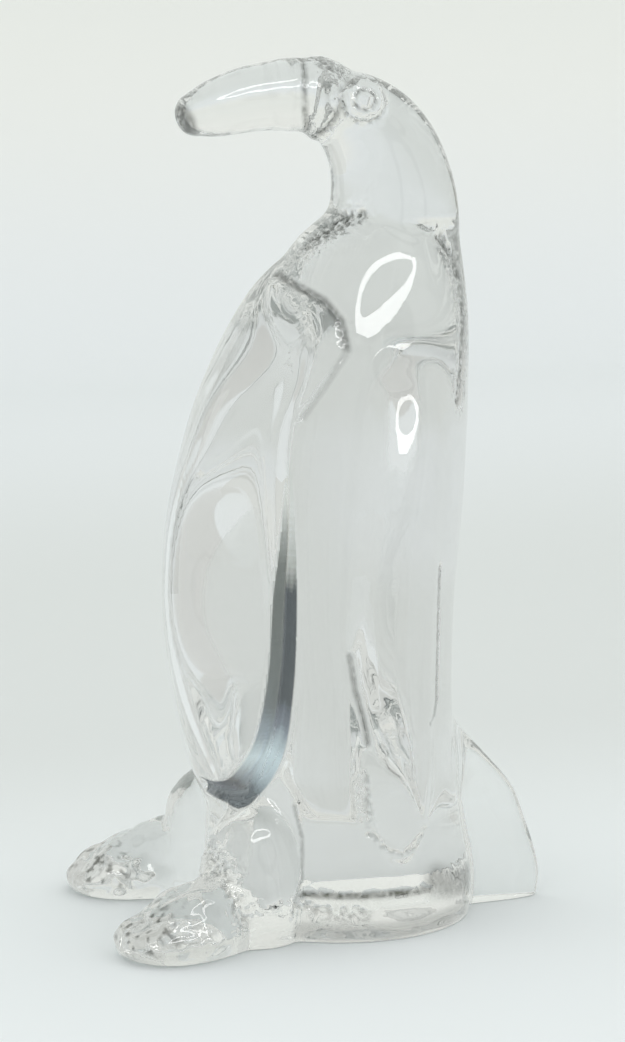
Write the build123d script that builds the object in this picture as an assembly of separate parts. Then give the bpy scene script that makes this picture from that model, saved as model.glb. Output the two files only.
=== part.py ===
from build123d import *
import math
import os

# A clear glass penguin, built up from solid bits of glass that were pressed hot on one another.
# Millimetres. The bird faces -Y, +X is its own left side, and it stands on the floor at Z = 0.
# Each bit is a smooth solid that gives way to the bits under it, so the two meet face to face.

os.makedirs("parts", exist_ok=True)

# Main gather: an upright column, flared at the rim that it stands on.
body_height = 132.5
base_radius = 25.2
base_rounding = 2.0
rim_section_count = 5
# Rows run upwards from the rounded rim: level, rear, front and half width.
body_shares = (
    (0.000, 1.000, 1.000, 1.000),
    (0.036, 0.990, 0.995, 0.990),
    (0.084, 0.940, 0.980, 0.956),
    (0.153, 0.881, 0.960, 0.917),
    (0.230, 0.837, 0.944, 0.885),
    (0.337, 0.825, 0.925, 0.865),
    (0.460, 0.845, 0.909, 0.857),
    (0.567, 0.897, 0.881, 0.865),
    (0.674, 0.925, 0.817, 0.857),
    (0.774, 0.944, 0.698, 0.821),
    (0.851, 0.944, 0.556, 0.750),
    (0.912, 0.917, 0.429, 0.643),
    (0.957, 0.857, 0.258, 0.524),
    (0.985, 0.762, 0.079, 0.413),
    (1.000, 0.615, -0.119, 0.246),
)

# Belly gather: an oval with pointed shoulders, laid over the front of the body.
belly_bottom = 19.0
belly_top_gap = 11.5
belly_height = body_height - belly_top_gap - belly_bottom
belly_bulge = 7.8
belly_reach = base_radius + belly_bulge
belly_side_gap = 5.6
belly_half_width = base_radius - belly_side_gap
# Rows run upwards: level, front, the line where it is widest, and half width.
belly_shares = (
    (0.000, 0.697, 0.561, 0.306),
    (0.075, 0.815, 0.606, 0.714),
    (0.118, 0.845, 0.576, 0.847),
    (0.180, 0.897, 0.576, 0.939),
    (0.284, 0.976, 0.530, 0.964),
    (0.412, 1.000, 0.515, 0.985),
    (0.569, 0.964, 0.530, 0.934),
    (0.676, 0.885, 0.485, 0.923),
    (0.749, 0.818, 0.424, 0.929),
    (0.810, 0.745, 0.333, 0.959),
    (0.873, 0.645, 0.182, 1.000),
    (0.912, 0.582, 0.176, 0.939),
    (0.946, 0.518, 0.182, 0.796),
    (0.975, 0.455, 0.227, 0.536),
    (1.000, 0.376, 0.273, 0.230),
)

# Neck and head: one round piece that bends forward.
neck_sink = 7.0
neck_bottom = body_height - neck_sink
neck_radius = 12.3
head_rise = 26.0
head_top_line = neck_bottom + head_rise
head_setback = 10.4
# Rows follow the bend: distance behind the body's axis, rise, radius, and lean of the section.
head_shares = (
    (0.981, 0.000, 1.000, 1.000),
    (1.000, 0.269, 0.951, 0.978),
    (0.875, 0.550, 0.862, 0.856),
    (0.519, 0.800, 0.748, 0.633),
    (-0.010, 0.946, 0.581, 0.356),
    (-0.442, 1.000, 0.431, 0.133),
)

# Ring at the root of the beak, thicker on top than below.
collar_radius = 7.65
collar_length = 7.6
collar_back = 0.2
collar_rise = 2.2
collar_lift = 0.6
collar_height = head_top_line + collar_lift - collar_rise
# Rows run forward: advance, rise, radius, and lean of the section.
collar_shares = (
    (0.000, 0.000, 0.784, 0.333),
    (0.408, 0.545, 1.000, 0.156),
    (0.711, 0.864, 0.967, 0.056),
    (1.000, 1.000, 0.784, 0.000),
)

# Beak: a long taper that droops to a round tip.
beak_seat = 2.2
beak_root = collar_length - collar_back - beak_seat
beak_length = 25.3
beak_lift = 0.55
beak_height = head_top_line + beak_lift
beak_droop = 4.15
beak_radius = 6.65
beak_tip_rounding = 2.9
# Rows run forward: advance, drop, radius, and lean of the section.
beak_shares = (
    (0.000, 0.000, 0.932, 0.000),
    (0.095, -0.024, 1.000, 0.000),
    (0.304, 0.024, 0.947, -0.033),
    (0.526, 0.229, 0.880, -0.100),
    (0.672, 0.470, 0.812, -0.144),
    (0.806, 0.711, 0.690, -0.178),
    (0.909, 0.880, 0.582, -0.178),
    (1.000, 1.000, 0.496, -0.178),
)

# Eyes: flattened round bits with soft rims, each with a small domed dot in the middle.
eye_sink = 4.6
eye_side = neck_radius - eye_sink
eye_setback = 2.6
eye_tilt = 21.5
eye_radius = 4.3
eye_stand = 1.7
eye_depth = 4.5
eye_rounding = 1.5
pupil_radius = 2.0
pupil_stand = 0.8

# Wings: long paddles that hug the sides and end in a round tip near the floor.
wing_bottom = 15.5
wing_top_gap = 25.5
wing_length = body_height - wing_top_gap - wing_bottom
wing_inset = 1.4
wing_side = base_radius - wing_inset
wing_setback = 6.5
wing_half_chord = 8.6
wing_half_thickness = 4.2
wing_turn = 14.0
# Rows run upwards: level, side, setback, half chord and half thickness.
wing_shares = (
    (0.000, 1.000, 0.877, 0.256, 0.381),
    (0.033, 0.979, 0.877, 0.535, 0.690),
    (0.104, 0.945, 0.846, 0.744, 0.833),
    (0.191, 0.916, 0.831, 0.837, 0.881),
    (0.311, 0.891, 0.708, 0.919, 0.905),
    (0.486, 0.878, 0.646, 1.000, 0.929),
    (0.650, 0.874, 0.738, 1.000, 0.976),
    (0.814, 0.866, 0.846, 0.965, 1.000),
    (0.913, 0.849, 0.938, 0.907, 0.929),
    (0.967, 0.811, 1.000, 0.698, 0.810),
    (1.000, 0.735, 1.000, 0.407, 0.476),
)

# Legs: upright domes at the front of the base.
leg_side_inset = 8.7
leg_side = base_radius - leg_side_inset
leg_front_inset = 4.7
leg_advance = base_radius - leg_front_inset
leg_centre_height = 9.0
leg_half_width = 9.5
leg_half_depth = 9.8
leg_half_height = 17.0

# Feet: wide wedges, pressed out forward and outward from the legs.
foot_length = 26.3
foot_reach = leg_advance + foot_length
foot_splay = 6.3
foot_side = leg_side + foot_splay
foot_half_width = 9.8
foot_height = 15.5
# Rows run backwards: reach, side, half width, and height of the centre and of the half section.
foot_shares = (
    (1.000, 0.990, 0.400, 0.150, 0.125),
    (0.972, 1.000, 0.640, 0.165, 0.200),
    (0.930, 1.000, 0.820, 0.180, 0.290),
    (0.855, 1.000, 0.960, 0.210, 0.395),
    (0.726, 0.975, 1.000, 0.255, 0.495),
    (0.598, 0.880, 0.930, 0.320, 0.590),
    (0.470, 0.760, 0.770, 0.385, 0.610),
)

# Tail: a thin fin that sweeps down from the back to the floor.
tail_height = 37.5
tail_bury = 10.2
tail_root = base_radius - tail_bury
tail_length = 14.7
tail_reach = base_radius + tail_length
tail_half_thickness = 4.9
# Rows run from the floor up: level, reach and half thickness.
tail_shares = (
    (0.000, 0.982, 0.960),
    (0.110, 1.000, 1.000),
    (0.220, 0.982, 0.985),
    (0.350, 0.942, 0.920),
    (0.480, 0.900, 0.840),
    (0.610, 0.850, 0.740),
    (0.745, 0.770, 0.640),
    (0.880, 0.640, 0.540),
    (1.000, 0.525, 0.440),
)

quarter_turn = 90.0
ring_point_count = 8
ground_size = 4 * foot_reach


# A closed oval section, given by its centre, two unit directions and two half sizes.
# Its curve starts at the low end of the second direction, so left and right come out alike.
def oval(centre, across, along, half_across, half_along):
    points = []
    for step in range(ring_point_count):
        angle = math.tau * step / ring_point_count
        sideways = across * (half_across * math.sin(angle))
        points.append(centre + sideways - along * (half_along * math.cos(angle)))
    return make_face(Spline(*points, periodic=True))


# A section in the bird's middle plane. It stands upright at lean 0 and lies flat at lean 90.
def leaning_oval(y, z, half_width, half_height, lean):
    along = Vector(0, math.sin(math.radians(lean)), math.cos(math.radians(lean)))
    return oval(Vector(0, y, z), Vector(1, 0, 0), along, half_width, half_height)


def flat_oval(x, y, z, half_width, half_depth):
    return oval(Vector(x, y, z), Vector(1, 0, 0), Vector(0, 1, 0), half_width, half_depth)


# The low ring under the column, with sections that follow a quarter circle to round its rim.
def make_rim():
    sections = []
    for step in range(rim_section_count):
        angle = math.radians(quarter_turn * step / (rim_section_count - 1))
        radius = base_radius - base_rounding * (1 - math.sin(angle))
        sections.append(flat_oval(0, 0, base_rounding * (1 - math.cos(angle)), radius, radius))
    return loft(sections)


def make_body():
    sections = []
    for level, rear, front, half_width in body_shares:
        z = base_rounding + (body_height - base_rounding) * level
        middle = base_radius * (rear - front) / 2
        half_depth = base_radius * (rear + front) / 2
        sections.append(flat_oval(0, middle, z, base_radius * half_width, half_depth))
    return make_rim() + loft(sections)


def make_belly():
    sections = []
    for level, front, widest, half_width in belly_shares:
        z = belly_bottom + belly_height * level
        half_depth = belly_reach * (front - widest)
        sections.append(flat_oval(0, -belly_reach * widest, z, belly_half_width * half_width, half_depth))
    return loft(sections)


def make_head():
    sections = []
    for setback, rise, radius, lean in head_shares:
        z = neck_bottom + head_rise * rise
        r = neck_radius * radius
        sections.append(leaning_oval(head_setback * setback, z, r, r, quarter_turn * lean))
    return loft(sections)


def make_collar():
    sections = []
    for advance, rise, radius, lean in collar_shares:
        y = collar_back - collar_length * advance
        z = collar_height + collar_rise * rise
        r = collar_radius * radius
        sections.append(leaning_oval(y, z, r, r, quarter_turn * lean))
    return loft(sections)


def make_beak():
    sections = []
    for advance, drop, radius, lean in beak_shares:
        y = -beak_root - beak_length * advance
        z = beak_height - beak_droop * drop
        r = beak_radius * radius
        sections.append(leaning_oval(y, z, r, r, quarter_turn * lean))
    taper = loft(sections)
    tip_edge = taper.edges().sort_by(Axis.Y)[0]
    return fillet(tip_edge, beak_tip_rounding)


# The place of the left eye, with its own Z pointing straight out of the head.
def eye_place():
    outward = Vector(math.cos(math.radians(eye_tilt)), 0, math.sin(math.radians(eye_tilt)))
    return Plane(origin=(eye_side, eye_setback, head_top_line), x_dir=(0, 1, 0), z_dir=outward)


def make_eye():
    disc = Cylinder(eye_radius, eye_depth, align=(Align.CENTER, Align.CENTER, Align.MAX))
    front_rim = disc.edges().sort_by(Axis.Z)[-1]
    return eye_place() * Pos(0, 0, eye_stand) * fillet(front_rim, eye_rounding)


# The dot is the cap of a ball that is sunk in the face of the eye.
def make_pupil():
    ball_radius = (pupil_radius ** 2 + pupil_stand ** 2) / (2 * pupil_stand)
    return eye_place() * Pos(0, 0, eye_stand + pupil_stand - ball_radius) * Sphere(ball_radius)


def make_wing():
    turn = math.radians(wing_turn)
    outward = Vector(math.cos(turn), math.sin(turn), 0)
    backward = Vector(-math.sin(turn), math.cos(turn), 0)
    sections = []
    for level, side, setback, chord, thickness in wing_shares:
        centre = Vector(wing_side * side, wing_setback * setback, wing_bottom + wing_length * level)
        half_thickness = wing_half_thickness * thickness
        sections.append(oval(centre, outward, backward, half_thickness, wing_half_chord * chord))
    return loft(sections)


def make_leg():
    dome = scale(Sphere(1), by=(leg_half_width, leg_half_depth, leg_half_height))
    return Pos(leg_side, -leg_advance, leg_centre_height) * dome


def make_foot():
    sections = []
    for reach, side, half_width, middle, half_height in foot_shares:
        centre = Vector(foot_side * side, -foot_reach * reach, foot_height * middle)
        width = foot_half_width * half_width
        sections.append(oval(centre, Vector(1, 0, 0), Vector(0, 0, 1), width, foot_height * half_height))
    return loft(sections)


def make_tail():
    sections = []
    for level, reach, thickness in tail_shares:
        half_depth = tail_reach * reach - tail_root
        half_width = tail_half_thickness * thickness
        sections.append(flat_oval(0, tail_root, tail_height * level, half_width, half_depth))
    return loft(sections)


# What lies under the floor is cut away, which leaves the flat places that the bird stands on.
def above_floor(shape):
    ground = Box(ground_size, ground_size, ground_size, align=(Align.CENTER, Align.CENTER, Align.MAX))
    return shape - ground


def write(name, shape):
    shape.label = name
    export_step(shape, "parts/" + name + ".step")
    print(name, "solids", len(shape.solids()), "volume", round(shape.volume, 1))


# Takes the bits underneath out of a new bit, and keeps the one solid that shows.
def press_on(shape, *under):
    for bit in under:
        shape = shape - bit
    return shape.solids().sort_by(SortBy.VOLUME)[-1]


body = make_body()
belly = make_belly()
head = make_head()
collar = make_collar()

write("body", body)
write("belly", press_on(belly, body))
write("head", press_on(head, body))
write("beak_collar", press_on(collar, head))
write("beak", press_on(make_beak(), head, collar))
write("tail", above_floor(press_on(make_tail(), body)))

# Eyes, pupils, wings, legs and feet come as a left bit and its mirror image on the right.
for side in ("left", "right"):
    eye, pupil, wing, leg, foot = make_eye(), make_pupil(), make_wing(), make_leg(), make_foot()
    if side == "right":
        eye, pupil, wing, leg, foot = [mirror(bit, Plane.YZ) for bit in (eye, pupil, wing, leg, foot)]
    write("eye_" + side, press_on(eye, head, collar))
    write("pupil_" + side, press_on(pupil, eye))
    write("wing_" + side, press_on(wing, body, belly))
    write("leg_" + side, above_floor(press_on(leg, body, belly)))
    write("foot_" + side, above_floor(press_on(foot, leg, body, belly)))
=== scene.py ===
import math
import bpy
import numpy as np
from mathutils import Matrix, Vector, noise
from mathutils.bvhtree import BVHTree


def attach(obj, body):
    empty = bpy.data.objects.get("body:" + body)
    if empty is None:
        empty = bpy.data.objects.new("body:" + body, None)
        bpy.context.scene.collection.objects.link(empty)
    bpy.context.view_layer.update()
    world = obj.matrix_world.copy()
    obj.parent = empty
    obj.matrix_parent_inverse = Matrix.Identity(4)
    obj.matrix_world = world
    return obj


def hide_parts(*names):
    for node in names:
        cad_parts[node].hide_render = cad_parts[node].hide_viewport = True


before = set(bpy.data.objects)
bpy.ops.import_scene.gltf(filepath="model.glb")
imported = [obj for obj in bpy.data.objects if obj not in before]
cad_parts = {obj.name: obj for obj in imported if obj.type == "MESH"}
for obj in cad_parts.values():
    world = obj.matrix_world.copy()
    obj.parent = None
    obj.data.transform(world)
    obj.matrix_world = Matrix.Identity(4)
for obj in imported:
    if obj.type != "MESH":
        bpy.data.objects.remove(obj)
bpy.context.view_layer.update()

# A penguin of clear furnace glass. Sizes are in millimetres until a mesh is made.
# It faces -Y, +X is its own left side, and the table is at Z = 0.
mm = 0.001
fineness = {"around": 160, "stepLength": 0.6, "fewestSteps": 12, "domeSteps": 14, "domePoint": 0.01}


def hexToLinear(code):
    values = [int(code[i:i + 2], 16) / 255 for i in (1, 3, 5)]
    return [v / 12.92 if v <= 0.04045 else ((v + 0.055) / 1.055) ** 2.4 for v in values] + [1.0]


def addNode(tree, kind, inputs=None, **settings):
    # an input is a socket to link or a value to set, everything else is a property of the node
    node = tree.nodes.new(kind)
    for name, value in settings.items():
        setattr(node, name, value)
    for name, value in (inputs or {}).items():
        if isinstance(value, bpy.types.NodeSocket):
            tree.links.new(value, node.inputs[name])
        else:
            node.inputs[name].default_value = value
    return node


def smoothThrough(places, rows, fine):
    # natural cubic spline through the rows, so the glass has no kinks
    gap = np.diff(places)
    count = len(places)
    left = np.zeros((count, count))
    right = np.zeros_like(rows)
    left[0, 0] = left[-1, -1] = 1
    for i in range(1, count - 1):
        left[i, i - 1:i + 2] = gap[i - 1], 2 * (gap[i - 1] + gap[i]), gap[i]
        right[i] = 6 * ((rows[i + 1] - rows[i]) / gap[i] - (rows[i] - rows[i - 1]) / gap[i - 1])
    bend = np.linalg.solve(left, right)
    k = np.clip(np.searchsorted(places, fine) - 1, 0, count - 2)
    g = gap[k][:, None]
    a = (places[k + 1] - fine)[:, None]
    b = (fine - places[k])[:, None]
    return ((bend[k] * a ** 3 + bend[k + 1] * b ** 3) / (6 * g)
            + (rows[k] / g - bend[k] * g / 6) * a + (rows[k + 1] / g - bend[k + 1] * g / 6) * b)


def domedRows(rows, end, height):
    # rows that close one end with a round cap
    way = rows[0, :3] - rows[1, :3] if end == 0 else rows[-1, :3] - rows[-2, :3]
    way /= np.linalg.norm(way)
    cap = []
    for turn in np.linspace(0, math.pi / 2, fineness["domeSteps"])[1:]:
        row = rows[end].copy()
        row[:3] += way * height * math.sin(turn)
        row[9:] *= max(math.cos(turn), fineness["domePoint"])
        cap.append(row)
    return np.vstack([cap[::-1], rows]) if end == 0 else np.vstack([rows, cap])


def pulledGlass(name, ovals, domeStart=0.0, domeEnd=0.0):
    # a skin over ovals, each (centre, across, along, half across, half along)
    rows = np.array([list(c) + list(u) + list(v) + [p, q] for c, u, v, p, q in ovals], float)
    places = np.concatenate([[0], np.cumsum(np.linalg.norm(np.diff(rows[:, :3], axis=0), axis=1))])
    steps = max(fineness["fewestSteps"], int(places[-1] / fineness["stepLength"]))
    rows = smoothThrough(places, rows, np.linspace(0, places[-1], steps))
    for end, dome in ((0, domeStart), (-1, domeEnd)):
        if dome:
            rows = domedRows(rows, end, dome)
    turns = np.linspace(0, 2 * math.pi, fineness["around"], endpoint=False)
    across = rows[:, 3:6] / np.linalg.norm(rows[:, 3:6], axis=1)[:, None]
    along = rows[:, 6:9] / np.linalg.norm(rows[:, 6:9], axis=1)[:, None]
    points = (rows[:, None, :3] + across[:, None] * (rows[:, 9, None] * np.cos(turns))[..., None]
              + along[:, None] * (rows[:, 10, None] * np.sin(turns))[..., None]).reshape(-1, 3)
    n, rings = fineness["around"], len(rows)
    faces = []
    for r in range(rings - 1):
        for s in range(n):
            t = (s + 1) % n
            faces.append((r * n + s, r * n + t, (r + 1) * n + t, (r + 1) * n + s))
    faces.append(tuple(reversed(range(n))))
    faces.append(tuple(range((rings - 1) * n, rings * n)))
    return {"name": name, "points": points, "faces": faces}


def upright(y, z, radius, lean):
    # a circle across the middle plane, standing at lean 0 and flat at lean 90
    turn = math.radians(lean)
    return (0, y, z), (1, 0, 0), (0, math.sin(turn), math.cos(turn)), radius, radius


def flat(x, y, z, halfWidth, halfDepth):
    return (x, y, z), (1, 0, 0), (0, 1, 0), halfWidth, halfDepth


def mirrored(bit, name):
    points = bit["points"] * (-1, 1, 1)
    return {"name": name, "points": points, "faces": [tuple(reversed(f)) for f in bit["faces"]]}


# level, rear, front, half width
body = {"rows": [(-4, 24.0, -24.0, 24.0), (0, 24.6, -24.6, 24.6), (6, 25.0, -25.1, 25.0),
                 (13, 23.7, -24.7, 24.1), (22, 22.2, -24.2, 23.1), (32, 21.1, -23.8, 22.3),
                 (46, 20.8, -23.3, 21.9), (62, 21.3, -22.9, 21.9), (76, 22.6, -22.2, 22.1),
                 (90, 23.3, -20.6, 22.3), (103, 23.8, -17.6, 21.3), (113, 23.8, -14.0, 18.7),
                 (121, 23.1, -10.8, 15.8), (127, 21.6, -6.5, 12.4), (130.5, 19.2, -2.0, 9.4)],
        "dome": 3.0}
bodyBit = pulledGlass("body", [flat(0, (r + f) / 2, z, w, (r - f) / 2) for z, r, f, w in body["rows"]],
                      domeEnd=body["dome"])

# level, front, the seam where it meets the body, how deeply it tucks in there
belly = {"rows": [(18, -22.5, -20.4, 0.30), (24, -26.0, -19.8, 0.30), (31, -28.2, -17.4, 0.26),
                  (40, -30.3, -14.6, 0.18), (52, -32.5, -13.2, 0.08), (64, -33.0, -13.0, 0.02),
                  (77, -31.8, -13.4, 0.0), (88, -29.2, -13.2, 0.0), (97, -26.4, -11.0, 0.0),
                  (104, -23.4, -8.5, 0.0), (109, -20.9, -7.5, 0.0), (113.5, -18.3, -8.0, 0.0),
                  (117.5, -15.7, -9.2, 0.0), (121.5, -12.0, -10.6, 0.0)],
         "dome": 0.8, "leastShare": 0.05}


def bodyAt(z):
    levels = [row[0] for row in body["rows"]]
    rear, front, width = [float(np.interp(z, levels, [row[k] for row in body["rows"]])) for k in (1, 2, 3)]
    return (rear + front) / 2, (rear - front) / 2, width


def bellyOval(z, front, seam, tuck):
    # it is widest just in front of the seam, so it dips in before it meets the body
    middle, depth, width = bodyAt(z)
    halfDepth = (seam - front) / (1 + tuck)
    bodyWidth = width * math.sqrt(max(belly["leastShare"], 1 - ((seam - middle) / depth) ** 2))
    return flat(0, front + halfDepth, z, bodyWidth / math.sqrt(1 - tuck ** 2), halfDepth)


bellyBit = pulledGlass("belly", [bellyOval(*row) for row in belly["rows"]],
                       domeStart=belly["dome"], domeEnd=belly["dome"])

# setback, height, radius, lean
head = {"rows": [(9.6, 119.5, 12.2, 91), (10.2, 125.5, 12.2, 90), (10.4, 132.5, 11.7, 88),
                 (9.1, 139.8, 10.6, 77), (5.4, 146.3, 9.2, 57), (-0.1, 150.1, 7.15, 32),
                 (-4.6, 151.5, 5.3, 12)]}
headBit = pulledGlass("head", [upright(*row) for row in head["rows"]])

collar = {"rows": [(0.2, 149.9, 6.0, 30), (-2.9, 151.1, 7.65, 14), (-5.2, 151.8, 7.4, 5),
                   (-7.4, 152.1, 6.0, 0)]}
collarBit = pulledGlass("beak_collar", [upright(*row) for row in collar["rows"]])

beak = {"rows": [(-5.2, 152.05, 6.2, 0), (-7.6, 152.15, 6.65, 0), (-12.9, 151.95, 6.3, -3),
                 (-18.5, 151.1, 5.85, -9), (-22.2, 150.1, 5.4, -13), (-25.6, 149.1, 4.6, -16),
                 (-27.4, 148.6, 3.9, -16)],
        "tip": 3.1}
beakBit = pulledGlass("beak", [upright(*row) for row in beak["rows"]], domeEnd=beak["tip"])

eye = {"side": 7.7, "setback": 2.6, "height": 151.5, "tilt": 21.5, "radius": 4.3, "root": 2.8, "stand": 1.7,
       "rim": 1.5, "rimSteps": 6, "pupil": 2.0, "pupilRoot": 1.0, "pupilStand": 0.8}
eyeTilt = math.radians(eye["tilt"])
eyeOut = np.array([math.cos(eyeTilt), 0, math.sin(eyeTilt)])
eyeUp = (-math.sin(eyeTilt), 0, math.cos(eyeTilt))
eyeSpot = np.array([eye["side"], eye["setback"], eye["height"]])
rimRows = [(-eye["root"], eye["radius"]), (eye["stand"] - eye["rim"], eye["radius"])]
for step in range(1, eye["rimSteps"] + 1):
    turn = math.radians(90 * step / eye["rimSteps"])
    rimRows.append((eye["stand"] - eye["rim"] + eye["rim"] * math.sin(turn),
                    eye["radius"] - eye["rim"] + eye["rim"] * math.cos(turn)))
eyeBit = pulledGlass("eye_left", [(eyeSpot + eyeOut * h, (0, 1, 0), eyeUp, r, r) for h, r in rimRows])
pupilRows = [(eye["stand"] - eye["pupilRoot"], eye["pupil"]), (eye["stand"], eye["pupil"])]
pupilBit = pulledGlass("pupil_left", [(eyeSpot + eyeOut * h, (0, 1, 0), eyeUp, r, r) for h, r in pupilRows],
                       domeEnd=eye["pupilStand"])

# level, side, setback, half chord, half thickness
wing = {"rows": [(15.6, 23.6, 5.7, 2.6, 1.7), (18.5, 23.3, 5.7, 4.6, 2.9), (25, 22.5, 5.5, 6.4, 3.5),
                 (33, 21.8, 5.4, 7.2, 3.7), (44, 21.2, 4.6, 7.9, 3.8), (60, 20.9, 4.2, 8.6, 4.0),
                 (75, 21.0, 4.8, 8.6, 4.3), (86, 21.1, 5.8, 8.3, 4.5), (94, 21.1, 6.8, 7.4, 4.3),
                 (99, 20.4, 7.0, 6.9, 3.9), (103, 19.2, 7.0, 6.1, 3.4), (106.5, 17.2, 6.9, 4.6, 2.6)],
        "turn": 14.0, "dome": 1.2}
wingTurn = math.radians(wing["turn"])
wingOut = (math.cos(wingTurn), math.sin(wingTurn), 0)
wingBack = (-math.sin(wingTurn), math.cos(wingTurn), 0)
wingBit = pulledGlass("wing_left", [((x, y, z), wingOut, wingBack, t, c) for z, x, y, c, t in wing["rows"]],
                      domeStart=wing["dome"], domeEnd=wing["dome"])

leg = {"side": 16.5, "advance": 20.5, "height": 9.0, "halfWidth": 9.5, "halfDepth": 9.8, "halfHeight": 17.0,
       "rowsEachWay": 8, "turnEach": 10.6}
legRows = []
for step in range(-leg["rowsEachWay"], leg["rowsEachWay"] + 1):
    turn = math.radians(leg["turnEach"] * step)
    legRows.append(flat(leg["side"], -leg["advance"], leg["height"] + leg["halfHeight"] * math.sin(turn),
                        leg["halfWidth"] * math.cos(turn), leg["halfDepth"] * math.cos(turn)))
legBit = pulledGlass("leg_left", legRows)

# setback, side, half width, middle height, half height
foot = {"rows": [(-46.0, 22.7, 4.6, 2.5, 2.2), (-44.6, 22.8, 6.4, 2.7, 3.2), (-42.6, 22.8, 8.0, 2.9, 4.4),
                 (-39.8, 22.8, 9.3, 3.2, 6.0), (-34.0, 22.3, 9.8, 4.0, 7.7), (-28.0, 20.2, 9.2, 5.0, 9.2),
                 (-22.0, 17.4, 7.6, 6.0, 9.5)],
        "dome": 1.4}
footOvals = [((x, y, z), (1, 0, 0), (0, 0, 1), w, h) for y, x, w, z, h in foot["rows"]]
footBit = pulledGlass("foot_left", footOvals, domeStart=foot["dome"])

# level, how far back it reaches, half thickness
tail = {"rows": [(-3, 39.0, 4.6), (0, 39.3, 4.7), (4, 39.8, 4.9), (8, 39.2, 4.8), (13, 37.6, 4.5),
                 (18, 35.9, 4.1), (23, 33.9, 3.6), (28, 30.8, 3.1), (33, 25.6, 2.6), (37, 21.2, 2.2)],
        "root": 15.0}
tailBit = pulledGlass("tail", [flat(0, tail["root"], z, t, r - tail["root"]) for z, r, t in tail["rows"]])

bits = [bodyBit, bellyBit, headBit, collarBit, beakBit, eyeBit, pupilBit, wingBit, legBit, footBit, tailBit]
for one in list(bits):
    if one["name"].endswith("_left"):
        bits.append(mirrored(one, one["name"].replace("_left", "_right")))
print("bits of glass:", len(bits))


def meshFrom(name, points, faces):
    mesh = bpy.data.meshes.new(name)
    mesh.from_pydata((points * mm).tolist(), [], faces)
    mesh.validate()
    return mesh


def smoothShaded(mesh):
    for face in mesh.polygons:
        face.use_smooth = True


def meshArrays(mesh):
    places = np.empty(len(mesh.vertices) * 3)
    mesh.vertices.foreach_get("co", places)
    corners = np.empty(len(mesh.loops), int)
    mesh.loops.foreach_get("vertex_index", corners)
    sides = np.empty(len(mesh.polygons), int)
    mesh.polygons.foreach_get("loop_total", sides)
    edges = np.empty(len(mesh.edges) * 2, int)
    mesh.edges.foreach_get("vertices", edges)
    return places.reshape(-1, 3) / mm, np.split(corners, np.cumsum(sides)[:-1]), edges.reshape(-1, 2)


def joined(parts):
    faces, start = [], 0
    for part in parts:
        faces += [tuple(start + i for i in face) for face in part["faces"]]
        start += len(part["points"])
    return np.vstack([part["points"] for part in parts]), faces


def melted(name, points, faces, voxel):
    # one closed skin round everything, with its points, faces and edges
    holder = bpy.data.objects.new(name, meshFrom(name, points, faces))
    bpy.context.collection.objects.link(holder)
    remesh = holder.modifiers.new("melt", "REMESH")
    remesh.mode = "VOXEL"
    remesh.voxel_size = voxel * mm
    skin = bpy.data.meshes.new_from_object(holder.evaluated_get(bpy.context.evaluated_depsgraph_get()))
    bpy.data.objects.remove(holder)
    return meshArrays(skin)


def ramp(values, low, high):
    t = np.clip((values - low) / (high - low), 0, 1)
    return t * t * (3 - 2 * t)


# The bits are melted into one skin: the voxels close the seams, then the glass flows for some steps in each
# zone. Going up from the foot, a zone takes over between its two levels. Flowing draws the skin in a little,
# so it swells back out by as much.
flow = {"voxel": 0.5, "finerVoxel": 0.425, "drift": 0.5, "footSteps": 12,
        "zones": [(260, 20, 28), (320, 54, 76), (160, 92, 102), (45, 110, 122), (5, 130, 138)],
        "lastSteps": 8.0, "swell": 0.0020}


def flowSteps(z):
    total, steps, reached = 0, flow["footSteps"], 1
    for above, low, high in flow["zones"]:
        taken = ramp(z, low, high)
        total = total + steps * (reached * (1 - taken))
        steps, reached = above, taken
    return total + steps * reached


def relax(points, edges, steps):
    # each point drifts towards the mean of its neighbours for its own number of steps
    ends = np.concatenate([edges[:, 0], edges[:, 1]])
    starts = np.concatenate([edges[:, 1], edges[:, 0]])
    valence = np.bincount(ends, minlength=len(points))[:, None]
    for k in range(int(steps.max())):
        mean = np.stack([np.bincount(ends, points[starts, i], len(points)) for i in range(3)], 1) / valence
        points += flow["drift"] * np.clip(steps - k, 0, 1)[:, None] * (mean - points)


def skinNormals(points, faces):
    a, b, c = (points[[f[k] for f in faces]] for k in range(3))
    flatNormals = np.cross(b - a, c - a)
    total = np.zeros_like(points)
    for k in range(3):
        np.add.at(total, [f[k] for f in faces], flatNormals)
    return total / np.maximum(np.linalg.norm(total, axis=1), 1e-9)[:, None]


skinPoints, skinFaces, skinEdges = melted("melt", *joined(bits), flow["voxel"])
relax(skinPoints, skinEdges, flowSteps(skinPoints[:, 2]))
skinPoints, skinFaces, skinEdges = melted("even", skinPoints, [f.tolist() for f in skinFaces],
                                          flow["finerVoxel"])
relax(skinPoints, skinEdges, np.full(len(skinPoints), flow["lastSteps"]))
swelling = flow["swell"] * flowSteps(skinPoints[:, 2])
skinPoints += skinNormals(skinPoints, skinFaces) * swelling[:, None]
print("melted and flowed:", len(skinFaces), "faces")


def circle(y, z, radius, steps=24):
    turns = [math.tau * k / steps for k in range(steps + 1)]
    return [(y + radius * math.cos(turn), z + radius * math.sin(turn)) for turn in turns]


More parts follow.
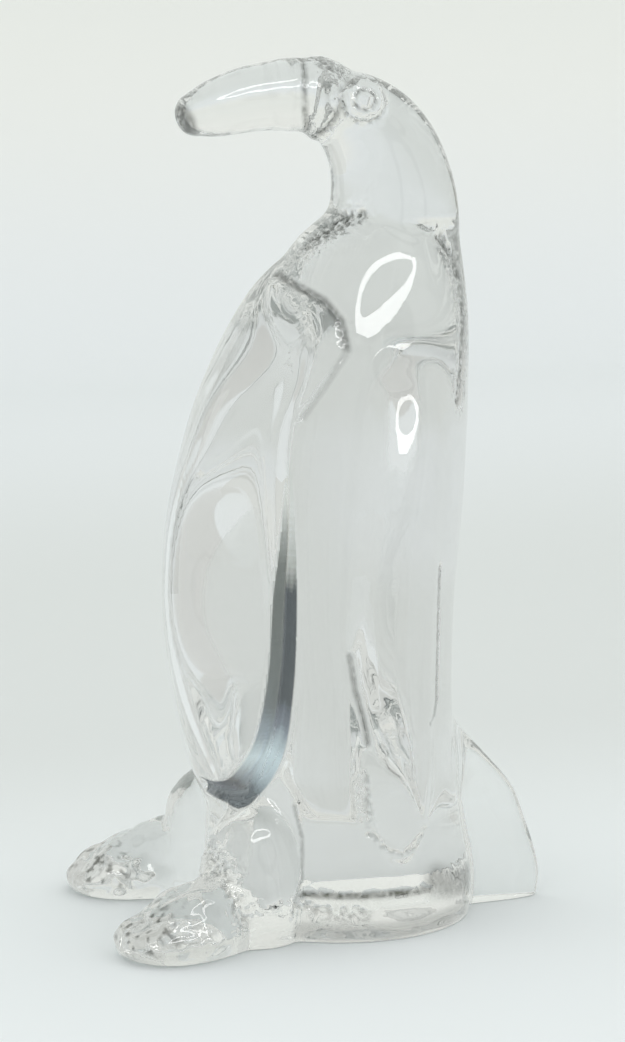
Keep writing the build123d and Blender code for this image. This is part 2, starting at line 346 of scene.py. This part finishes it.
# Lines scored where bits were pressed together, as (setback, level) on the bird's sides. Each is pressed in
# by its
# depth, crumpled, and painted dark: painted shade for the dark of the room that the glass shows there, and a
# line of depth 0 is painted shade only. It starts some way from the middle plane.
scores = {"bellyTop": {"line": [(-14.6, 122), (-11, 118.8), (-6.5, 116), (-4.2, 112.6), (-3.6, 108)],
                       "depth": 0.35, "width": 0.9, "crumple": 0.2, "dark": 0.85},
          "spindle": {"line": [(-3.8, 107), (-7.6, 101.3), (-11.5, 95.6)],
                      "depth": 0.5, "width": 0.6, "crumple": 0.1, "dark": 0.35},
          "nape": {"line": [(15.8, 127), (18.2, 124), (20.2, 119), (20.6, 112), (19.8, 104), (18.6, 97)],
                   "depth": 0.6, "width": 0.8, "crumple": 1.0, "dark": 0.9},
          "neckFront": {"line": [(1.5, 131), (-3.5, 128.6), (-8.5, 125.3), (-12.0, 122.6)],
                        "depth": 0.7, "width": 1.3, "crumple": 1.1, "dark": 0.95},
          "wingFront": {"line": [(-4.2, 53), (-3.2, 46.5), (-1.7, 40.9), (-1.0, 36.8)],
                        "depth": 0.3, "width": 0.55, "crumple": 0.2, "dark": 0.75, "sides": "left"},
          "wingTip": {"line": [(-1.3, 30.8), (-1.1, 26.2), (-0.3, 19.6), (2.4, 16.8), (5.2, 16.1), (8, 17),
                               (10, 19.8)],
                      "depth": 0.4, "width": 0.6, "crumple": 1.1, "dark": 0.5, "sides": "left"},
          "wingRear": {"line": [(14.4, 67.4), (14.5, 53.5), (14.3, 42.5), (13.6, 39.9), (11.7, 39.1)],
                       "depth": 0.25, "width": 0.4, "crumple": 0.2, "dark": 0.65, "sides": "left"},
          "baseTop": {"line": [(-12.8, 9), (-4.4, 8.7), (3.2, 8.7), (11.5, 8.4)],
                      "depth": 0.25, "width": 0.75, "crumple": 0.2, "dark": 1.0, "sides": "left"},
          "baseFront": {"line": [(-13.7, 7.2), (-8.2, 5.6), (-1.6, 5.2)],
                        "depth": 0.4, "width": 1.5, "crumple": 1.3, "dark": 0.6, "sides": "left"},
          "baseRear": {"line": [(13, 9.6), (17, 8), (21, 7.2)],
                       "depth": 0, "width": 2.8, "crumple": 0.15, "dark": 0.8, "sides": "left"},
          "baseFoot": {"line": [(-13, 2.2), (4, 1.8), (20, 2.4)],
                       "depth": 0, "width": 1.9, "crumple": 0, "dark": 0.5, "sides": "left"},
          "legCrease": {"line": [(-30.6, 21.2), (-27.5, 13.5), (-24.5, 6)],
                        "depth": 0.6, "width": 1.5, "crumple": 1.5, "dark": 0.6, "sides": "left"},
          "legRing": {"line": [(-13.6, 25), (-12.2, 19), (-12.6, 12), (-15, 6)],
                      "depth": 0.2, "width": 0.35, "crumple": 0.2, "dark": 0.6, "sides": "left"},
          "eyeRim": {"line": circle(2.2, 151.5, 4.2), "depth": 0.3, "width": 0.4, "crumple": 0.8,
                     "dark": 0.7},
          "pupilRim": {"line": circle(2.2, 151.5, 1.9), "depth": 0.25, "width": 0.35, "crumple": 0.7,
                       "dark": 0.9},
          "collarFront": {"line": [(-7.5, 158.4), (-8.2, 153.2), (-8.0, 149.3), (-6.8, 145.9)],
                          "depth": 0.3, "width": 0.65, "crumple": 0.3, "dark": 0.8, "from": 1},
          "collarRear": {"line": [(-1.8, 150.2), (-2.8, 147.6), (-5.3, 144.5)],
                         "depth": 0.3, "width": 0.7, "crumple": 0.3, "dark": 0.85, "from": 1},
          "crown": {"line": [(-4.4, 158.0), (-1.9, 156.6), (0.3, 155.3)],
                    "depth": 0.35, "width": 1.0, "crumple": 1.3, "dark": 0.8, "from": 1},
          "beakTip": {"line": [(-29.6, 149.4), (-28.7, 147.9), (-28.0, 145.6)],
                      "depth": 0, "width": 1.2, "crumple": 0.2, "dark": 0.85, "from": 0},
          "beakUnder": {"line": [(-25.8, 144.8), (-20.9, 144.4), (-15.7, 145.3)],
                        "depth": 0, "width": 0.35, "crumple": 0.1, "dark": 0.7, "from": 0}}
# waves are per millimetre, reach and spread are in widths of the line
crumpling = {"from": 3, "reach": 3.5, "slowWaves": 0.55, "quickWaves": 1.3, "slowShare": 0.6,
             "quickDepth": 0.35, "quickSpread": 1.8, "patchiness": 2.2, "patchMiddle": 0.2}


def awayFrom(line, places):
    # how far each place lies from a line of points
    nearest = np.full(len(places), 1e9)
    for start, end in zip(line[:-1], line[1:]):
        run = end - start
        t = np.clip(((places - start) @ run) / (run @ run), 0, 1)
        nearest = np.minimum(nearest, np.linalg.norm(places - start - t[:, None] * run, axis=1))
    return nearest


outward = skinNormals(skinPoints, skinFaces)
dent = np.zeros(len(skinPoints))
paintedShade = np.zeros(len(skinPoints))
for score in scores.values():
    nearest = awayFrom(np.array(score["line"]), skinPoints[:, 1:])
    aside = skinPoints[:, 0] if score.get("sides") == "left" else np.abs(skinPoints[:, 0])
    inReach = nearest < crumpling["reach"] * score["width"]
    for i in np.nonzero(inReach & (aside > score.get("from", crumpling["from"])))[0]:
        slow = noise.noise(Vector(skinPoints[i]) * crumpling["slowWaves"])
        quick = noise.noise(Vector(skinPoints[i]) * crumpling["quickWaves"])
        widths = nearest[i] / score["width"]
        patch = 1 + crumpling["patchiness"] * score["crumple"] * (quick - crumpling["patchMiddle"])
        paintedShade[i] = max(paintedShade[i], score["dark"] * math.exp(-widths ** 4) * min(max(patch, 0), 1))
        dent[i] += (score["depth"] * math.exp(-widths ** 2) * (1 + crumpling["slowShare"] * slow)
                    + crumpling["quickDepth"] * score["crumple"] * quick
                    * math.exp(-(nearest[i] / (crumpling["quickSpread"] * score["width"])) ** 2))

# Low down on the left the belly never quite fused with the body: its edge stands off, over a deep groove.
# setback, level, half the groove's width, depth
groove = {"rows": [(-14.0, 88, 0.6, 0.0), (-14.1, 81, 1.0, 0.3), (-14.3, 75, 1.4, 1.0), (-14.6, 69, 1.9, 2.0),
                   (-15.0, 62, 2.4, 2.9), (-15.4, 52, 2.6, 3.3), (-16.2, 44, 2.8, 3.4), (-17.6, 36, 3.1, 3.4),
                   (-20.3, 30, 3.2, 3.2), (-23.4, 27, 2.6, 2.4), (-26.5, 26, 1.8, 1.2)],
          "steps": 90, "from": 3, "levels": (20, 88), "roundness": 1.5, "outside": 9}
rows = np.array(groove["rows"], float)
rows = smoothThrough(np.arange(len(rows)), rows, np.linspace(0, len(rows) - 1, groove["steps"]))
lowest, highest = groove["levels"]
near = np.nonzero((skinPoints[:, 0] > groove["from"]) & (skinPoints[:, 2] > lowest)
                  & (skinPoints[:, 2] < highest))[0]
gaps = np.linalg.norm(skinPoints[near, None, 1:] - rows[None, :, :2], axis=2)
closest = gaps.argmin(1)
share = np.clip(gaps[np.arange(len(near)), closest] / rows[closest, 2], 0, 1)
dent[near] += rows[closest, 3] * (1 - share ** 2) ** groove["roundness"]
# how far down the groove each point lies, from 0 to 1, and how far across it, from -1 at the belly to 1
run = np.gradient(rows[:, :2], axis=0)
offset = skinPoints[near, 1:] - rows[closest, :2]
across = run[closest, 1] * offset[:, 0] - run[closest, 0] * offset[:, 1]
across = -across / np.linalg.norm(run[closest], axis=1) / rows[closest, 2]
inGroove = np.zeros((len(skinPoints), 3))
inGroove[:, 1] = groove["outside"]
inGroove[near, 0] = closest / (len(rows) - 1)
inGroove[near, 1] = np.where(share < 1, across, groove["outside"])

# The feet, the legs and the beak's root were pinched with tools and are dimpled. Each pair of values is where
# a region fades, and the waves are per millimetre.
dimples = {"feet": 0.9, "legs": 0.5, "beakRoot": 0.35, "least": 0.01,
           "offTable": (0.5, 3), "footTop": (14, 22), "footRear": (-33, -26), "toeRear": (-41, -33),
           "legTop": (24, 30), "legRear": (-27, -20), "legInside": (3, 8),
           "rootLevel": (150, 156), "rootFront": (-8, -5), "rootRear": (0, 3),
           "broadWaves": 0.16, "fineWaves": 0.4, "fineShare": 0.2}
# painted shade on the feet: an even darkening, and dark spots on the toes, for the dark that the crumpled
# glass shows
paintedFootShade = {"dark": 0.75, "evenShade": 0.16, "waves": 0.8, "start": (3, 1, 2), "floor": 0.22, "crispness": 6}
x, y, z = skinPoints.T
feet = ((1 - ramp(z, *dimples["footTop"])) * (1 - ramp(y, *dimples["footRear"]))
        * ramp(z, *dimples["offTable"]))
toes = 1 - ramp(y, *dimples["toeRear"])
legs = ((1 - ramp(z, *dimples["legTop"])) * (1 - ramp(y, *dimples["legRear"]))
        * ramp(np.abs(x), *dimples["legInside"]) * ramp(z, *dimples["offTable"]))
root = (ramp(z, *dimples["rootLevel"]) * ramp(y, *dimples["rootFront"])
        * (1 - ramp(y, *dimples["rootRear"])))
amount = dimples["feet"] * feet + dimples["legs"] * legs + dimples["beakRoot"] * root
for i in np.nonzero(amount > dimples["least"])[0]:
    at = Vector(skinPoints[i])
    spot = noise.noise(at * paintedFootShade["waves"] + Vector(paintedFootShade["start"])) - paintedFootShade["floor"]
    shadeSpot = min(max(paintedFootShade["crispness"] * spot, 0), 1)
    paintedShade[i] = max(paintedShade[i], feet[i] * (paintedFootShade["evenShade"] + paintedFootShade["dark"] * toes[i] * shadeSpot))
    dent[i] += amount[i] * (noise.noise(at * dimples["broadWaves"])
                            + dimples["fineShare"] * noise.noise(at * dimples["fineWaves"]))
skinPoints -= outward * dent[:, None]

# The underside is a rough gather, hollowed a little, so only its rim stands on the table.
underside = {"touching": 0.3, "radius": 23, "slope": 5, "lift": 1.4, "rough": 1.1, "waves": 0.12}
radius = np.hypot(x, y)
for i in np.nonzero((skinPoints[:, 2] < underside["touching"]) & (radius < underside["radius"]))[0]:
    bump = noise.noise(Vector(skinPoints[i]) * underside["waves"])
    lift = (ramp(underside["radius"] - radius[i], 0, underside["slope"])
            * (underside["lift"] + underside["rough"] * bump))
    skinPoints[i, 2] = max(skinPoints[i, 2], 0) + lift
skinPoints[:, 2] = np.maximum(skinPoints[:, 2], 0)
print("scored and dimpled")

whole = meshFrom("figurine", skinPoints, [f.tolist() for f in skinFaces])
smoothShaded(whole)
wholeNormals = np.empty(len(whole.vertices) * 3)
whole.vertices.foreach_get("normal", wholeNormals)
wholeNormals = wholeNormals.reshape(-1, 3)

# Soda-lime glass, fire polished: clear, mirror smooth, and it bends whatever stands behind it. Down in the
# groove a painted reflection of the dark of the room stands in its colour: two dark strands, one on the
# belly's edge and one on the body's, and a painted highlight, a cold gleam, where the groove turns. Scored
# lines are painted an olive dark, painted shade for the dark they show.
glassLook = {"ior": 1.5, "plain": "#FCFDFC", "seam": "#1E2014", "lossPerMetre": (6.2, 6.7, 6.9),
             "bellyStrand": [(0.13, "#F4F7F3"), (0.23, "#8C908C"), (0.33, "#4E524E"), (0.65, "#545A5A"),
                             (0.73, "#7D8C98"), (0.79, "#CDE6F4"), (0.85, "#8E9AA4"), (0.91, "#4E5052"),
                             (1.0, "#3C4048")],
             "bodyStrand": [(0.15, "#F4F7F3"), (0.33, "#B4B8B2"), (0.40, "#2E3338"), (0.63, "#33383C"),
                            (0.69, "#626B7A"), (0.76, "#D6F2FF"), (0.81, "#B8D0DE"), (0.87, "#4A5258"),
                            (1.0, "#40464C")],
             "strandBorder": (-0.12, 0.05), "grooveEdge": (0.80, 0.96),
             "grooveLength": 66.5, "streakLength": 19, "streakDetail": 3.0, "streakShift": 0.06}
clear = bpy.data.materials.new("soda-lime glass, fire polished")
clear.use_nodes = True
tree = clear.node_tree
shader = tree.nodes["Principled BSDF"]
shader.inputs["Roughness"].default_value = 0.0
shader.inputs["IOR"].default_value = glassLook["ior"]
shader.inputs["Transmission Weight"].default_value = 1.0
grooveMark = addNode(tree, "ShaderNodeAttribute", attribute_name="in groove")
split = addNode(tree, "ShaderNodeSeparateXYZ", {"Vector": grooveMark.outputs["Vector"]})
streak = addNode(tree, "ShaderNodeTexNoise", {"Vector": grooveMark.outputs["Vector"],
                                              "Scale": glassLook["grooveLength"] / glassLook["streakLength"],
                                              "Detail": glassLook["streakDetail"]})
shifted = addNode(tree, "ShaderNodeMath", {0: streak.outputs["Fac"], 1: glassLook["streakShift"],
                                           2: split.outputs["X"]}, operation="MULTIPLY_ADD")
# the two strands are painted reflection and painted highlight, laid into the glass's colour along the groove
strands = []
for key in ("bellyStrand", "bodyStrand"):
    strand = addNode(tree, "ShaderNodeValToRGB", {"Fac": shifted.outputs["Value"]})
    stops = strand.color_ramp.elements
    while len(stops) < len(glassLook[key]):
        stops.new(0.5)
    for stop, (position, colour) in zip(stops, glassLook[key]):
        stop.position = position
        stop.color = hexToLinear(colour)
    strands.append(strand)
side = addNode(tree, "ShaderNodeMapRange", {"Value": split.outputs["Y"],
                                            "From Min": glassLook["strandBorder"][0],
                                            "From Max": glassLook["strandBorder"][1]},
               interpolation_type="SMOOTHSTEP")
both = addNode(tree, "ShaderNodeMix", {"Factor": side.outputs["Result"], "A": strands[0].outputs["Color"],
                                       "B": strands[1].outputs["Color"]}, data_type="RGBA")
outwards = addNode(tree, "ShaderNodeMath", {0: split.outputs["Y"]}, operation="ABSOLUTE")
edge = addNode(tree, "ShaderNodeMapRange", {"Value": outwards.outputs["Value"],
                                            "From Min": glassLook["grooveEdge"][0],
                                            "From Max": glassLook["grooveEdge"][1]},
               interpolation_type="SMOOTHSTEP")
plainAndPaintedGroove = addNode(tree, "ShaderNodeMix", {"Factor": edge.outputs["Result"], "A": both.outputs["Result"],
                                       "B": hexToLinear(glassLook["plain"])}, data_type="RGBA")
# painted shade: the olive dark laid over the glass's colour along the scored lines, the base, the beak's tip
# and the feet
paintedShadeMark = addNode(tree, "ShaderNodeAttribute", attribute_name="paintedShade")
scored = addNode(tree, "ShaderNodeMix", {"Factor": paintedShadeMark.outputs["Fac"], "A": plainAndPaintedGroove.outputs["Result"],
                                         "B": hexToLinear(glassLook["seam"])}, data_type="RGBA")
# on its way through, the glass takes a little of the light: more where it is thick
ray = addNode(tree, "ShaderNodeLightPath")
kept = []
for loss in glassLook["lossPerMetre"]:
    gone = addNode(tree, "ShaderNodeMath", {0: ray.outputs["Ray Length"], 1: -loss}, operation="MULTIPLY")
    kept.append(addNode(tree, "ShaderNodeMath", {0: gone.outputs["Value"]}, operation="EXPONENT"))
through = addNode(tree, "ShaderNodeCombineColor", {"Red": kept[0].outputs["Value"],
                                                   "Green": kept[1].outputs["Value"],
                                                   "Blue": kept[2].outputs["Value"]})
facing = addNode(tree, "ShaderNodeNewGeometry")
colour = addNode(tree, "ShaderNodeMix", {"Factor": facing.outputs["Backfacing"],
                                         "A": scored.outputs["Result"],
                                         "B": through.outputs["Color"]}, data_type="RGBA")
tree.links.new(colour.outputs["Result"], shader.inputs["Base Color"])

# Each bit keeps the skin that lies nearest to it, so every piece of glass stays one object. A bit laid on
# later also takes the glass that has filled the corner beside it.
fillets = {"head": 2.0, "wing_left": 1.6, "wing_right": 1.6}
farthest = 3  # no bit takes skin that lies farther outside its box
middles = np.array([skinPoints[f].mean(0) for f in skinFaces])
owner = np.zeros(len(middles), int)
best = np.full(len(middles), 1e9)
for b, one in enumerate(bits):
    surface = BVHTree.FromPolygons(one["points"].tolist(), one["faces"])
    low, high = one["points"].min(0) - farthest, one["points"].max(0) + farthest
    fillet = fillets.get(one["name"], 0)
    for f in np.nonzero(((middles > low) & (middles < high)).all(1))[0]:
        distance = surface.find_nearest(middles[f], best[f] + fillet)[3]
        if distance is not None and distance - fillet < best[f]:
            best[f] = distance - fillet
            owner[f] = b
print("shared out", len(middles), "faces")

pieces = {}
for b, one in enumerate(bits):
    own = np.nonzero(owner == b)[0]
    used, renamed = np.unique(np.concatenate([skinFaces[f] for f in own]), return_inverse=True)
    cuts = np.cumsum([len(skinFaces[f]) for f in own])[:-1]
    mesh = meshFrom(one["name"], skinPoints[used], [f.tolist() for f in np.split(renamed, cuts)])
    smoothShaded(mesh)
    mesh.normals_split_custom_set_from_vertices(wholeNormals[used].tolist())
    mesh.materials.append(clear)
    mark = mesh.attributes.new("in groove", "FLOAT_VECTOR", "POINT")
    mark.data.foreach_set("vector", inGroove[used].ravel())
    mark = mesh.attributes.new("paintedShade", "FLOAT", "POINT")
    mark.data.foreach_set("value", paintedShade[used])
    piece = bpy.data.objects.new(one["name"] + "_glass", mesh)
    bpy.context.collection.objects.link(piece)
    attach(piece, "root")
    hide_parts(one["name"])
    pieces[one["name"]] = piece
    print(one["name"], len(own), "faces")

# A sheet of white card lies on the table and curls up behind the bird. Matt card gives no reflections. Its
# tones
# are painted light and shade on one white card. Coming in from far off, each tone takes over between two
# places:
# greyer behind the bird, light again under it and in front, and warmer where the card stands up.
sweep = {"drop": 0.2, "front": 700, "reach": 790, "curl": 160, "curlSteps": 24, "half": 1100, "height": 1500,
         "far": "#E9EEEF",
         "tones": [("X", -680, -310, "#DFE4E2"), ("X", -160, 0, "#EEF4F4"), ("Z", 0, 140, "#F1F3EE")]}
profile = [(sweep["front"], -sweep["drop"])]
for step in range(sweep["curlSteps"] + 1):
    turn = math.radians(90 * step / sweep["curlSteps"])
    profile.append((-sweep["reach"] - sweep["curl"] * math.sin(turn),
                    -sweep["drop"] + sweep["curl"] * (1 - math.cos(turn))))
profile.append((-sweep["reach"] - sweep["curl"], sweep["height"]))
points = np.array([(x, side * sweep["half"], z) for x, z in profile for side in (-1, 1)], float)
quads = [(2 * i, 2 * i + 1, 2 * i + 3, 2 * i + 2) for i in range(len(profile) - 1)]
backdrop = bpy.data.objects.new("card sweep", meshFrom("card sweep", points, quads))
bpy.context.collection.objects.link(backdrop)
smoothShaded(backdrop.data)


def mattLook(name):
    look = bpy.data.materials.new(name)
    look.use_nodes = True
    surface = look.node_tree.nodes["Principled BSDF"]
    surface.inputs["Roughness"].default_value = 1.0
    surface.inputs["Specular IOR Level"].default_value = 0.0
    return look, surface


cardLook, card = mattLook("white card, matt")
tree = cardLook.node_tree
place = addNode(tree, "ShaderNodeNewGeometry")
spot = addNode(tree, "ShaderNodeSeparateXYZ", {"Vector": place.outputs["Position"]})
tone = hexToLinear(sweep["far"])
# painted light and shade on the card, one tone after another
for axis, start, end, colour in sweep["tones"]:
    share = addNode(tree, "ShaderNodeMapRange", {"Value": spot.outputs[axis], "From Min": start * mm,
                                                 "From Max": end * mm}, interpolation_type="SMOOTHSTEP")
    blend = addNode(tree, "ShaderNodeMix", {"Factor": share.outputs["Result"], "A": tone,
                                            "B": hexToLinear(colour)}, data_type="RGBA")
    tone = blend.outputs["Result"]
tree.links.new(tone, card.inputs["Base Color"])
# seen from behind the card is clear, so the bird can be looked at from every side
clearBack = addNode(tree, "ShaderNodeBsdfTransparent")
oneSided = addNode(tree, "ShaderNodeMixShader", {0: place.outputs["Backfacing"], 1: card.outputs["BSDF"],
                                                 2: clearBack.outputs["BSDF"]})
tree.links.new(oneSided.outputs["Shader"], tree.nodes["Material Output"].inputs["Surface"])
backdrop.data.materials.append(cardLook)

# Boards that only the glass sees: an olive one beside the picture darkens the base, and a grey one in front
# of the bird calms what the far side of the belly throws back.
boards = {"olive board": {"corners": [(-95, -104, 40), (-70, -142, 40), (-70, -142, 200), (-95, -104, 200)],
                          "colour": "#5E604E"},
          "grey board": {"corners": [(55, -90, 3), (320, -90, 3), (320, 200, 3), (55, 200, 3)],
                         "colour": "#DCDFDC"}}
for name, board in boards.items():
    sheet = bpy.data.objects.new(name, meshFrom(name, np.array(board["corners"], float), [(0, 1, 2, 3)]))
    bpy.context.collection.objects.link(sheet)
    boardLook, paint = mattLook(name + ", matt")
    paint.inputs["Base Color"].default_value = hexToLinear(board["colour"])
    sheet.data.materials.append(boardLook)
    sheet.visible_camera = False
    sheet.visible_diffuse = False
    sheet.visible_shadow = False

# The room: white light on the card, and the greyer tone that the glass itself sees.
room = {"light": "#FFFFFF", "seen": "#E2E6E2"}
world = bpy.data.worlds.new("soft room")
bpy.context.scene.world = world
world.use_nodes = True
tree = world.node_tree
path = addNode(tree, "ShaderNodeLightPath")
air = addNode(tree, "ShaderNodeMix", {"Factor": path.outputs["Is Diffuse Ray"],
                                      "A": hexToLinear(room["seen"]),
                                      "B": hexToLinear(room["light"])}, data_type="RGBA")
tree.links.new(air.outputs["Result"], tree.nodes["Background"].inputs["Color"])
tree.nodes["Background"].inputs["Strength"].default_value = 1.0

# A ring lamp high on the bird's left gives the bright loops on its shoulder and beak. The wings turn their
# own way, so they get a lamp of their own, lower down. The head and the belly show neither.
rings = {"shoulder": {"azimuth": 102, "elevation": 41.8, "halfWidth": 255, "halfHeight": 86, "band": 23,
                      "lights": ["body", "beak", "beak_collar", "tail", "eye_left", "eye_right",
                                 "leg_left", "leg_right", "foot_left", "foot_right"]},
         "wing": {"azimuth": 112, "elevation": 13.5, "halfWidth": 185, "halfHeight": 130, "band": 27,
                  "lights": ["wing_left", "wing_right"]}}
ringLamp = {"strength": 9.0, "distance": 500, "aim": (0, 0, 90), "around": 96}
lampLook = bpy.data.materials.new("ring lamp diffuser")
lampLook.use_nodes = True
lampLook.node_tree.nodes.clear()
glow = addNode(lampLook.node_tree, "ShaderNodeEmission", {"Color": hexToLinear(room["light"]),
                                                          "Strength": ringLamp["strength"]})
addNode(lampLook.node_tree, "ShaderNodeOutputMaterial", {"Surface": glow.outputs["Emission"]})
for name, ring in rings.items():
    azimuth, elevation = math.radians(ring["azimuth"]), math.radians(ring["elevation"])
    ringWay = Vector((math.sin(azimuth) * math.cos(elevation), -math.cos(azimuth) * math.cos(elevation),
                      math.sin(elevation)))
    n = ringLamp["around"]
    bandPoints = []
    for border in (-ring["band"], ring["band"]):
        for step in range(n):
            turn = math.tau * step / n
            bandPoints.append(((ring["halfWidth"] + border) * math.cos(turn),
                               (ring["halfHeight"] + border) * math.sin(turn), 0))
    bandFaces = [(i, (i + 1) % n, n + (i + 1) % n, n + i) for i in range(n)]
    label = name + " ring lamp"
    lamp = bpy.data.objects.new(label, meshFrom(label, np.array(bandPoints), bandFaces))
    bpy.context.collection.objects.link(lamp)
    lamp.location = (Vector(ringLamp["aim"]) + ringWay * ringLamp["distance"]) * mm
    lamp.rotation_euler = ringWay.to_track_quat("Z", "Y").to_euler()
    lamp.data.materials.append(lampLook)
    lamp.visible_camera = False
    lamp.visible_transmission = False
    lamp.visible_diffuse = False
    receivers = bpy.data.collections.new("lit by the " + label)
    for lit in ring["lights"]:
        receivers.objects.link(pieces[lit])
    lamp.light_linking.receiver_collection = receivers

# Light needs many bends to find its way through solid glass.
bounces = {"all": 32, "through": 32, "mirror": 16}
bpy.context.scene.cycles.max_bounces = bounces["all"]
bpy.context.scene.cycles.transmission_bounces = bounces["through"]
bpy.context.scene.cycles.glossy_bounces = bounces["mirror"]

camera = {"place": (618.5, -164.5, 178.3), "target": (0, -5, 73.8), "lens": 121.0, "sensor": 36}
eyePoint = bpy.data.objects.new("camera", bpy.data.cameras.new("camera"))
bpy.context.collection.objects.link(eyePoint)
view = Vector(camera["target"]) - Vector(camera["place"])
eyePoint.location = Vector(camera["place"]) * mm
eyePoint.rotation_euler = view.to_track_quat("-Z", "Y").to_euler()
eyePoint.data.sensor_fit = "VERTICAL"
eyePoint.data.sensor_height = camera["sensor"]
eyePoint.data.lens = camera["lens"]
bpy.context.scene.camera = eyePoint
bpy.context.scene.view_settings.view_transform = "Standard"
